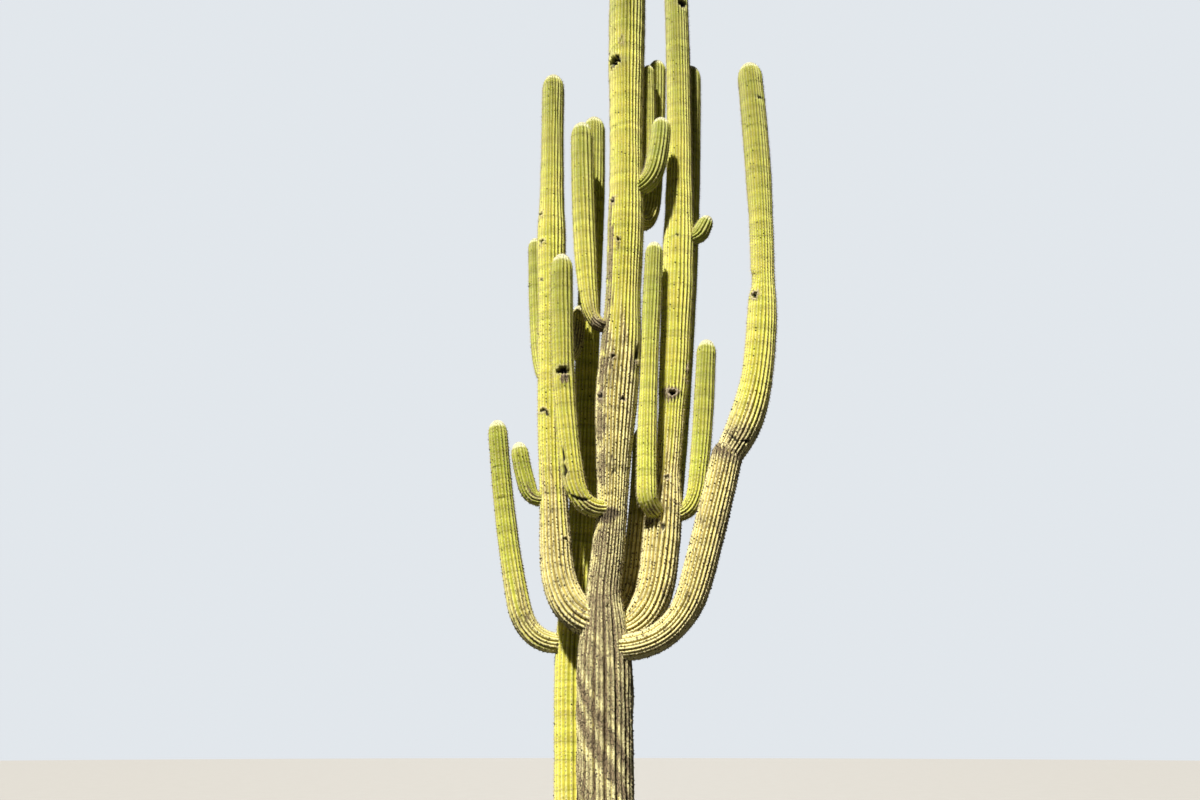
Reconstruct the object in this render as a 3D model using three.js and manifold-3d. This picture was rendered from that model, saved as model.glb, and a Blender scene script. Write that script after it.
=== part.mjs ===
// An old saguaro cactus: a ribbed trunk, a twin stem from the same foot, fifteen arms and three buds.
// Millimetres, +Z up. The flat cut under the trunk lies on z = 0 with its centre at the origin.
// Each stem is a ribbed column swept along a line; the skin's finer relief is left to the finish.

import * as THREE from 'three';
import { mergeVertices } from 'three/addons/utils/BufferGeometryUtils.js';
import Module from 'manifold-3d';

const wasm = await Module();
wasm.setup();

// Clearances, in millimetres.
const PART_GAP = 0.3;
const SKIN_GAP = 0.42;

// Ribs: the furrow's depth as a share of the stem's radius.
const FURROW_DEPTH = 0.14;

// Rings along a stem.
const ELBOW_BANDS = 4;
const COLUMN_STEP = 1200;
const CROWN_ANGLES = [36, 66];
const CROWN_HEIGHT = 1.15;

// An arm's column bends towards a point this share of the way from its aim to its shoulder.
const AIM_SHARE = 0.02;

// The trunk: [height, lean to the right, radius], from the root flare to below the crown.
const TRUNK_RIBS = 24;
const TRUNK_TIP = 12550;
const TRUNK_STATIONS = [
  [0, 0, 365],
  [450, -4, 325],
  [1300, -8, 303],
  [2450, -10, 303],
  [2850, -14, 262],
  [3250, -16, 200],
  [3700, 30, 190],
  [4330, 84, 180],
  [4800, 100, 205],
  [5600, 140, 256],
  [6300, 198, 250],
  [7000, 234, 224],
  [8000, 276, 236],
  [8700, 292, 224],
  [9700, 303, 229],
  [11000, 322, 254],
  [12000, 343, 262],
];

// The twin stem: the same three sizes, with its own place behind the trunk on the left.
// Its foot leans in to the trunk's and reaches the full setback at the station below.
const TWIN_RIBS = 16;
const TWIN_TIP = 10180;
const TWIN_SETBACK = 550;
const TWIN_FOOT_SETBACK = 470;
const SPREAD_STATION = 2;
const TWIN_STATIONS = [
  [0, -320, 235],
  [500, -350, 212],
  [1500, -372, 203],
  [2700, -380, 200],
  [3700, -304, 175],
  [4500, -266, 172],
  [5800, -242, 156],
  [7000, -212, 152],
  [8800, -157, 158],
  [9700, -146, 156],
];

// Arms. An arm leaves its carrier at foot, turns round corner, aims along aim and ends at tip.
// rise is the share of the way from corner to aim where the elbow ends and the column starts.
// elbow and column hold radii at even steps along each, and the last one is the shoulder.
const ARMS = [
  {
    name: 'right_tall', carrier: 'trunk', ribs: 18, skin: 'old',
    foot: [90, 60, 2810], corner: [530, 250, 2900], aim: [1085, 280, 7000], tip: [1085, 280, 12420],
    rise: 0.17, elbow: [160, 214, 222],
    column: [224, 220, 156, 164, 190, 200, 214, 210, 188, 176, 172, 172, 172, 171, 170],
  },
  {
    name: 'outer_right', carrier: 'trunk', ribs: 18, skin: 'old',
    foot: [80, -90, 2640], corner: [780, -190, 2620], aim: [1180, -190, 3900], tip: [1475, -190, 5000],
    rise: 0.55, elbow: [140, 154, 174], column: [180, 186, 182],
  },
  {
    name: 'outer_right_top', carrier: 'outer_right', ribs: 18, skin: 'old',
    foot: [1420, -190, 4800], corner: [1700, -190, 5180], aim: [2095, -190, 7000], tip: [2010, -190, 10510],
    rise: 0.33, elbow: [150, 204, 190], column: [186, 184, 148, 152, 166, 168, 166],
  },
  {
    name: 'right_hook', carrier: 'right_tall', ribs: 14, skin: 'young',
    foot: [760, 260, 4230], corner: [1045, 200, 4150], aim: [1195, 200, 5150], tip: [1300, 200, 6470],
    rise: 0.45, elbow: [84, 104, 112], column: [114, 122, 124, 122],
  },
  {
    name: 'back_right', carrier: 'trunk', ribs: 14, skin: 'old',
    foot: [60, 130, 2900], corner: [619, 680, 2978], aim: [1126, 680, 6283], tip: [1298, 600, 11143],
    rise: 0.2, elbow: [140, 150, 146], column: [142, 130, 132, 142, 148, 150],
  },
  {
    name: 'back_low', carrier: 'trunk', ribs: 12, skin: 'old',
    foot: [20, 80, 3120], corner: [250, 420, 2980], aim: [460, 470, 4600], tip: [468, 470, 5380],
    rise: 0.4, elbow: [100, 118, 126], column: [128, 126, 122],
  },
  {
    name: 'back_high', carrier: 'trunk', ribs: 14, skin: 'old',
    foot: [330, 100, 8300], corner: [593, 400, 8110], aim: [711, 450, 9216], tip: [786, 450, 11120],
    rise: 0.5, elbow: [96, 117, 127], column: [129, 133, 133],
  },
  {
    name: 'back_thin', carrier: 'trunk', ribs: 12, skin: 'old',
    foot: [370, 60, 8780], corner: [583, 130, 8755], aim: [632, 135, 9605], tip: [632, 135, 10761],
    rise: 0.45, elbow: [70, 82, 84], column: [86, 87, 86],
  },
  {
    name: 'high_front', carrier: 'trunk', ribs: 14, skin: 'young',
    foot: [400, -40, 8560], corner: [610, -130, 8570], aim: [740, -150, 9150], tip: [775, -150, 9625],
    rise: 0.5, elbow: [96, 128, 138], column: [140, 134],
  },
  {
    name: 'inner', carrier: 'right_tall', ribs: 14, skin: 'young',
    foot: [660, 190, 4185], corner: [486, -30, 4278], aim: [480, -30, 5100], tip: [648, -30, 7760],
    rise: 0.12, elbow: [76, 112, 118], column: [119, 117, 113, 113, 117, 114],
  },
  {
    name: 'front_left', carrier: 'trunk', ribs: 14, skin: 'old',
    foot: [20, -50, 4215], corner: [-305, -150, 4136], aim: [-525, -250, 5438], tip: [-542, -300, 7424],
    rise: 0.33, elbow: [105, 119, 131], column: [131, 129, 135, 138, 137],
  },
  {
    name: 'left_tall', carrier: 'trunk', ribs: 18, skin: 'old',
    foot: [-80, 20, 2930], corner: [-510, 50, 3000], aim: [-690, 50, 5200], tip: [-722, 50, 10510],
    rise: 0.3, elbow: [195, 200, 192], column: [188, 164, 174, 170, 164, 186, 158, 150, 152],
  },
  {
    name: 'left_back', carrier: 'left_tall', ribs: 12, skin: 'young',
    foot: [-680, 110, 5900], corner: [-800, 300, 5930], aim: [-880, 310, 6800], tip: [-930, 310, 8020],
    rise: 0.5, elbow: [72, 92, 100], column: [102, 104, 100],
  },
  {
    name: 'low_left', carrier: 'twin_stem', ribs: 14, skin: 'young',
    foot: [-440, 550, 2760], corner: [-900, 500, 2700], aim: [-1200, 500, 3950], tip: [-1368, 500, 5490],
    rise: 0.4, elbow: [112, 126, 138], column: [136, 126, 122, 120],
  },
  {
    name: 'upper_left', carrier: 'trunk', ribs: 14, skin: 'old',
    foot: [110, -20, 6570], corner: [-160, -50, 6480], aim: [-280, -60, 7700], tip: [-310, -60, 9610],
    rise: 0.34, elbow: [104, 136, 152], column: [154, 150, 150, 150],
  },
];

// Buds: short young arms in one piece, with the same points and sizes.
const BUDS = [
  {
    name: 'right_bud', carrier: 'right_tall', ribs: 12, skin: 'young',
    foot: [1100, 240, 7960], corner: [1240, 200, 7970], aim: [1315, 190, 8110], tip: [1400, 190, 8290],
    rise: 0.5, elbow: [60, 94, 114], column: [118, 108],
  },
  {
    name: 'left_bud', carrier: 'left_tall', ribs: 12, skin: 'young',
    foot: [-640, 50, 4390], corner: [-850, 50, 4280], aim: [-985, 50, 4700], tip: [-1045, 50, 5050],
    rise: 0.5, elbow: [66, 86, 102], column: [106, 104],
  },
  {
    name: 'middle_bud', carrier: 'left_tall', ribs: 12, skin: 'young',
    foot: [-600, 120, 6190], corner: [-410, 200, 6190], aim: [-350, 215, 6560], tip: [-325, 220, 6960],
    rise: 0.5, elbow: [66, 80, 92], column: [94, 92],
  },
];

// Arms whose elbows press against another stem, which keeps its own shape there.
const PRESSED = {
  outer_right: ['right_tall'],
  back_right: ['right_tall'],
  back_low: ['back_right', 'right_tall'],
};

// Birds' nest holes: [stem, height, turn round the stem from the front in degrees, radius].
const NEST_DEPTH = 75;
const NEST_TAPER = 0.8;
const NEST_SIDES = 10;
const NEST_HOLES = [
  ['trunk', 10573, -52, 56],
  ['right_tall', 5720, -7, 40],
  ['outer_right_top', 6856, -46, 34],
  ['front_left', 5819, -1, 48],
];

const FINISHES = {
  trunk: { color: 0xb6ad62, roughness: 0.78, metalness: 0 },
  old: { color: 0xb0a95c, roughness: 0.76, metalness: 0 },
  young: { color: 0x93a04e, roughness: 0.66, metalness: 0 },
};

// A value that eases from one to the next along an evenly spaced row.
function eased(values, share) {
  const place = THREE.MathUtils.clamp(share, 0, 1) * (values.length - 1);
  const step = Math.min(Math.floor(place), values.length - 2);
  const blend = (1 - Math.cos(Math.PI * (place - step))) / 2;
  return THREE.MathUtils.lerp(values[step], values[step + 1], blend);
}

// Rings that carry the frame from one to the next without twist.
function framedRings(points, radii, startTangent) {
  const rings = [];
  let across = new THREE.Vector3(1, 0, 0);
  for (let i = 0; i < points.length; i++) {
    const before = points[Math.max(i - 1, 0)];
    const after = points[Math.min(i + 1, points.length - 1)];
    const along = i === 0 && startTangent ? startTangent.clone() : after.clone().sub(before);
    along.normalize();
    across = across.clone().addScaledVector(along, -across.dot(along)).normalize();
    const aside = new THREE.Vector3().crossVectors(along, across);
    rings.push({ centre: points[i].clone(), along, across, aside, radius: radii[i] });
  }
  return rings;
}

// The crown's rings shrink over a dome of the given height and end in a pole.
function crownRings(shoulder, height) {
  const rings = CROWN_ANGLES.map((degrees) => {
    const angle = THREE.MathUtils.degToRad(degrees);
    const centre = shoulder.centre.clone().addScaledVector(shoulder.along, height * Math.sin(angle));
    return { ...shoulder, centre, radius: shoulder.radius * Math.cos(angle), lift: Math.sin(angle) };
  });
  const pole = shoulder.centre.clone().addScaledVector(shoulder.along, height);
  return { rings, pole };
}

// A standing stem's line, eased through its stations.
function standingStem(name, ribs, stations, tip, setback, footSetback) {
  const heights = stations.map((station) => station[0]);
  const line = new THREE.CatmullRomCurve3(stations.map(([height, lean, radius]) => {
    return new THREE.Vector3(lean, height, radius);
  }), false, 'centripetal');
  const shoulderRadius = stations[stations.length - 1][2];
  const shoulderHeight = tip - CROWN_HEIGHT * shoulderRadius;
  const points = [];
  const radii = [];
  const last = heights.length - 1;
  for (let i = 0; i < last; i++) {
    const parts = Math.max(1, Math.round((heights[i + 1] - heights[i]) / COLUMN_STEP));
    for (let k = 0; k < parts; k++) {
      const value = line.getPoint((i + k / parts) / last);
      const inward = Math.min(1, value.y / heights[SPREAD_STATION]);
      points.push(new THREE.Vector3(value.x, THREE.MathUtils.lerp(footSetback, setback, inward), value.y));
      radii.push(value.z);
    }
  }
  const top = stations[last];
  points.push(new THREE.Vector3(top[1], setback, shoulderHeight));
  radii.push(shoulderRadius);
  const rings = framedRings(points, radii, new THREE.Vector3(0, 0, 1));
  const crown = crownRings(rings[rings.length - 1], CROWN_HEIGHT * shoulderRadius);
  rings.push(...crown.rings);
  return { name, ribs, rings, pole: crown.pole, seam: 0 };
}

// An arm's line: one curve for the elbow and one for the column, which share a direction.
function armStem(arm) {
  const corners = [arm.foot, arm.corner, arm.aim, arm.tip];
  const [foot, corner, aim, tip] = corners.map((point) => new THREE.Vector3(...point));
  const spring = corner.clone().lerp(aim, arm.rise);
  const elbow = new THREE.QuadraticBezierCurve3(foot, corner, spring);
  const shoulderRadius = arm.column[arm.column.length - 1];
  const crownHeight = CROWN_HEIGHT * shoulderRadius;
  const shoulder = tip.clone().addScaledVector(tip.clone().sub(aim).normalize(), -crownHeight);
  const column = new THREE.QuadraticBezierCurve3(spring, aim.clone().lerp(shoulder, AIM_SHARE), shoulder);
  const points = [];
  const radii = [];
  for (let i = 0; i < ELBOW_BANDS; i++) {
    points.push(elbow.getPointAt(i / ELBOW_BANDS));
    radii.push(eased(arm.elbow, i / ELBOW_BANDS));
  }
  const columnBands = Math.max(arm.column.length - 1, Math.round(column.getLength() / COLUMN_STEP));
  for (let i = 0; i <= columnBands; i++) {
    points.push(column.getPointAt(i / columnBands));
    radii.push(eased(arm.column, i / columnBands));
  }
  const rings = framedRings(points, radii, null);
  const crown = crownRings(rings[rings.length - 1], crownHeight);
  rings.push(...crown.rings);
  return { name: arm.name, ribs: arm.ribs, rings, pole: crown.pole, seam: ELBOW_BANDS };
}

// A closed ribbed solid through rings, flat at its start, and flat or pointed at its end.
function ribbedSolid(rings, ribs, pole, growth) {
  const corners = ribs * 2;
  const positions = [];
  const index = [];
  rings.forEach(({ centre, along, across, aside, radius, lift = 0 }) => {
    for (let k = 0; k < corners; k++) {
      const angle = (Math.PI * k) / ribs;
      const reach = radius * (k % 2 === 0 ? 1 : 1 - FURROW_DEPTH) + growth;
      const corner = centre.clone().addScaledVector(along, growth * lift);
      corner.addScaledVector(across, reach * Math.cos(angle));
      corner.addScaledVector(aside, reach * Math.sin(angle));
      positions.push(corner.x, corner.y, corner.z);
    }
  });
  for (let i = 0; i < rings.length - 1; i++) {
    for (let k = 0; k < corners; k++) {
      const a = i * corners + k;
      const b = i * corners + ((k + 1) % corners);
      index.push(a, b, b + corners, a, b + corners, a + corners);
    }
  }
  const start = positions.length / 3;
  const foot = rings[0].centre;
  const end = pole || rings[rings.length - 1].centre;
  positions.push(foot.x, foot.y, foot.z, end.x, end.y, end.z);
  const lastRing = (rings.length - 1) * corners;
  for (let k = 0; k < corners; k++) {
    const next = (k + 1) % corners;
    index.push(start, next, k);
    index.push(start + 1, lastRing + k, lastRing + next);
  }
  const mesh = new wasm.Mesh({
    numProp: 3,
    vertProperties: new Float32Array(positions),
    triVerts: new Uint32Array(index),
  });
  return new wasm.Manifold(mesh);
}

function shifted(ring, distance) {
  return { ...ring, centre: ring.centre.clone().addScaledVector(ring.along, distance) };
}

// The whole stem in one piece, grown by the skin's clearance, which cuts what it carries.
function grownStem(stem) {
  const rings = [shifted(stem.rings[0], -SKIN_GAP), ...stem.rings.slice(1)];
  const pole = stem.pole.clone().addScaledVector(rings[rings.length - 1].along, SKIN_GAP);
  return ribbedSolid(rings, stem.ribs, pole, SKIN_GAP);
}

// The elbow and the column of an arm, which face each other across a plane gap.
function elbowPiece(stem) {
  const rings = stem.rings.slice(0, stem.seam);
  rings.push(shifted(stem.rings[stem.seam], -PART_GAP / 2));
  return ribbedSolid(rings, stem.ribs, null, 0);
}

function columnPiece(stem) {
  const rings = [shifted(stem.rings[stem.seam], PART_GAP / 2), ...stem.rings.slice(stem.seam + 1)];
  return ribbedSolid(rings, stem.ribs, stem.pole, 0);
}

function wholePiece(stem) {
  return ribbedSolid(stem.rings, stem.ribs, stem.pole, 0);
}

// A closed solid of a plain geometry, whose corners are merged.
function solidOf(geometry) {
  geometry.deleteAttribute('normal');
  geometry.deleteAttribute('uv');
  const merged = mergeVertices(geometry);
  const mesh = new wasm.Mesh({
    numProp: 3,
    vertProperties: new Float32Array(merged.attributes.position.array),
    triVerts: new Uint32Array(merged.index.array),
  });
  return new wasm.Manifold(mesh);
}

// Nest holes are bored level into a stem from its skin, and narrow inwards.
function nestBore(stem, height, turn, radius) {
  let i = 0;
  while (i < stem.rings.length - 2 && stem.rings[i + 1].centre.z < height) i++;
  const [low, high] = [stem.rings[i], stem.rings[i + 1]];
  const share = (height - low.centre.z) / (high.centre.z - low.centre.z);
  const axis = low.centre.clone().lerp(high.centre, share);
  const stemRadius = THREE.MathUtils.lerp(low.radius, high.radius, share);
  const angle = THREE.MathUtils.degToRad(turn);
  const outward = new THREE.Vector3(Math.sin(angle), -Math.cos(angle), 0);
  const inner = axis.clone().addScaledVector(outward, stemRadius - NEST_DEPTH);
  const bore = new THREE.CylinderGeometry(radius, radius * NEST_TAPER, NEST_DEPTH * 2, NEST_SIDES);
  bore.translate(0, NEST_DEPTH, 0);
  bore.rotateZ(angle + Math.PI);
  bore.translate(inner.x, inner.y, height);
  return solidOf(bore);
}

function meshOf(solid, name, finish) {
  const data = solid.getMesh();
  const geometry = new THREE.BufferGeometry();
  const count = data.vertProperties.length / data.numProp;
  const positions = new Float32Array(count * 3);
  for (let i = 0; i < count; i++) {
    for (let k = 0; k < 3; k++) positions[i * 3 + k] = data.vertProperties[i * data.numProp + k];
  }
  geometry.setAttribute('position', new THREE.BufferAttribute(positions, 3));
  geometry.setIndex(new THREE.BufferAttribute(new Uint32Array(data.triVerts), 1));
  const mesh = new THREE.Mesh(geometry, new THREE.MeshStandardMaterial(FINISHES[finish]));
  mesh.name = name;
  return mesh;
}

const stems = {
  trunk: standingStem('trunk', TRUNK_RIBS, TRUNK_STATIONS, TRUNK_TIP, 0, 0),
  twin_stem: standingStem('twin_stem', TWIN_RIBS, TWIN_STATIONS, TWIN_TIP, TWIN_SETBACK, TWIN_FOOT_SETBACK),
};
[...ARMS, ...BUDS].forEach((arm) => {
  stems[arm.name] = armStem(arm);
});

function bored(solid, stemName) {
  const bores = NEST_HOLES.filter(([name]) => name === stemName);
  return bores.reduce((rest, [name, ...place]) => rest.subtract(nestBore(stems[name], ...place)), solid);
}

// What is left of a piece outside its carrier; slivers on the carrier's far side are dropped.
function seated(solid, arm) {
  const seats = [arm.carrier, ...(PRESSED[arm.name] || [])];
  const rest = seats.reduce((left, name) => left.subtract(grownStem(stems[name])), solid);
  return rest.decompose().reduce((most, piece) => (piece.volume() > most.volume() ? piece : most));
}

const group = new THREE.Group();
group.add(meshOf(bored(wholePiece(stems.trunk), 'trunk'), 'trunk', 'trunk'));
const twin = wholePiece(stems.twin_stem).subtract(grownStem(stems.trunk));
group.add(meshOf(twin, 'twin_stem', 'old'));
ARMS.forEach((arm) => {
  const stem = stems[arm.name];
  group.add(meshOf(seated(elbowPiece(stem), arm), `${arm.name}_elbow`, arm.skin));
  group.add(meshOf(bored(seated(columnPiece(stem), arm), arm.name), `${arm.name}_column`, arm.skin));
});
BUDS.forEach((bud) => {
  group.add(meshOf(seated(wholePiece(stems[bud.name]), bud), bud.name, bud.skin));
});

export default group;
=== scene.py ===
"""An old saguaro cactus: the ribbed skin, spines and wool that dress its packed stems."""

import math

import bpy
import numpy as np
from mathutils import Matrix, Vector


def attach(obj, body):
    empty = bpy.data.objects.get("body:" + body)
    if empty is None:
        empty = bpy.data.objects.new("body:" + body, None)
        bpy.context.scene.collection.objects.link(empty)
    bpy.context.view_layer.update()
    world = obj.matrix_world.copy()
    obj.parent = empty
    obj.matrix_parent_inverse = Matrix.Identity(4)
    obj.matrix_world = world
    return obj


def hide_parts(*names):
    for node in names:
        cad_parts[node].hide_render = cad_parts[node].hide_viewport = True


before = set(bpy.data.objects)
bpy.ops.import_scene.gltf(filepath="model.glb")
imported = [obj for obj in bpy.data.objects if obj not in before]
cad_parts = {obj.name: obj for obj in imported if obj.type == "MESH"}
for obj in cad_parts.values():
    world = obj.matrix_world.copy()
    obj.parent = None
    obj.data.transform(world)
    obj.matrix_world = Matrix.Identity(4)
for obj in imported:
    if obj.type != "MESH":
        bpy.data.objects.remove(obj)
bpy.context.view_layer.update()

# Sizes are metres. A point is right of, behind and above the centre of the trunk's foot.

# The view of the photograph: the camera's place, how far it is tilted up in degrees, and its lens
# and sensor in millimetres. The photograph's size is in pixels.
CAMERA_PLACE = (-0.062, -10.33, 1.65)
CAMERA_PITCH = 20.84
CAMERA_LENS = 27.18
SENSOR_WIDTH = 36
PHOTO_WIDTH = 1200
PHOTO_HEIGHT = 800

# The height of a tip's dome, as a share of the stem's radius, where the stem names none.
CROWN_HEIGHT = 1.5
# A column bends round a point that lies this share of the way from its aim to its shoulder.
AIM_SHARE = 0.02
# A standing stem has gone from foot_setback to setback at this station, counted from 0.
SPREAD_STATION = 2
# Points along a stem's line.
LINE_POINTS = 600

# Rings of the skin: how far apart they lie, how close round a mark, and how many make a dome.
# The points from one crest to the next lie at these shares of the way from crest to furrow, on
# these sides of their crest.
RING_STEP = 0.04
MARK_STEP = 0.011
CROWN_RINGS = 12
RIB_SHARES = (0, 0.38, 0.76, 1, 0.76, 0.38)
RIB_SIDES = (0, 1, 1, 1, -1, -1)

# Relief of the skin, as shares of the stem's radius: how deep the furrows are on fresh and on worn
# skin, and its pinches and lumps. The furrows' depth wavers by DEPTH_WAVER, and on worn skin every
# second one is shallower by SHALLOW_SHARE. FURROW_POWER rounds them. WANDER is how far the ribs
# wander sideways, as a share of the distance between crests. Every waver is a sum of WAVE_TERMS.
FURROW_DEPTH = 0.17
WORN_DEPTH = 0.18
DEPTH_WAVER = 0.15
SHALLOW_SHARE = 0.7
FURROW_POWER = 0.9
PINCH_DEPTH = 0.009
LUMP_HEIGHT = 0.012
WANDER = 0.06
WAVE_TERMS = 6

# Half the height over which the skin turns worn and tan, and how far these edges and the edge of
# the fresher skin waver up and down.
WORN_BLEND = 0.6
TAN_BLEND = 0.9
WORN_WAVER = 0.25
TAN_WAVER = 0.35
FRESH_WAVER = 0.3

# The usual corkiness of worn skin, and the usual reach of the fresher, greener skin below a tip.
USUAL_BARK = 0.3
FRESH_REACH = 2.4

# Edges of marks and patches, as shares of the way from their middle to their rim line.
BOWL_EDGE = (0.45, 1.15)
DARK_EDGE = (0.7, 1.15)
RIM_RISE = (0.8, 1.15)
RIM_FALL = (1.3, 2.1)
PATCH_EDGE = (0.55, 1.35)

# A mark's spot is looked for among this many places along a stem, up to this share of its dome,
# and this many turns round it. The scale is measured over twice PROBE, and round the stem it is
# at least this share of the scale along it.
SPOT_PLACES = 1400
SPOT_TOP = 0.98
SPOT_TURNS = 361
PROBE = 0.01
LEAST_SCALE = 0.4

# The cork that covers the end of a jointed arm, and how far down it reaches.
JOINT_CORK = 0.9
JOINT_REACH = 0.16

# Wool starts this far below a dome, and is full at this share of the dome's height.
WOOL_START = 0.02
WOOL_FULL = 0.8

# How far the outward direction turns upwards over a dome.
DOME_LIFT = 0.96

TRUNK_STATIONS = [
    (0, 0, 0.365), (0.45, -0.004, 0.325), (1.3, -0.008, 0.303), (2.45, -0.01, 0.303),
    (2.85, -0.014, 0.262), (3.25, -0.016, 0.2), (3.7, 0.03, 0.19), (4.33, 0.084, 0.18),
    (4.8, 0.1, 0.205), (5.6, 0.14, 0.256), (6.3, 0.198, 0.25), (7, 0.234, 0.224),
    (8, 0.276, 0.236), (8.7, 0.292, 0.224), (9.7, 0.303, 0.229), (11, 0.322, 0.254),
    (12, 0.343, 0.262),
]
TWIN_STATIONS = [
    (0, -0.32, 0.235), (0.5, -0.35, 0.212), (1.5, -0.372, 0.203), (2.7, -0.38, 0.2),
    (3.7, -0.304, 0.175), (4.5, -0.266, 0.172), (5.8, -0.242, 0.156), (7, -0.212, 0.152),
    (8.8, -0.157, 0.158), (9.7, -0.146, 0.156),
]

# Standing stems: stations of height, lean to the right and radius, and the height of the tip. Tan
# is the height below which the skin has turned tan, and worn the height below which it is worn.
# Bark is how corky it is there, where it isn't USUAL_BARK, and fresh the reach of the fresher skin,
# where it isn't FRESH_REACH. Setback is how far behind the trunk a stem stands, and foot_setback
# the same at its foot.
STANDING = [
    dict(name="trunk", ribs=30, skin="trunk_skin", stations=TRUNK_STATIONS, tip=12.55,
         setback=0, foot_setback=0, tan=6.3, worn=3.6, bark=0.95, fresh=1.9),
    dict(name="twin_stem", ribs=20, skin="old_skin", stations=TWIN_STATIONS, tip=10.18,
         setback=0.55, foot_setback=0.47, tan=1.2, worn=0.9),
]

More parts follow.
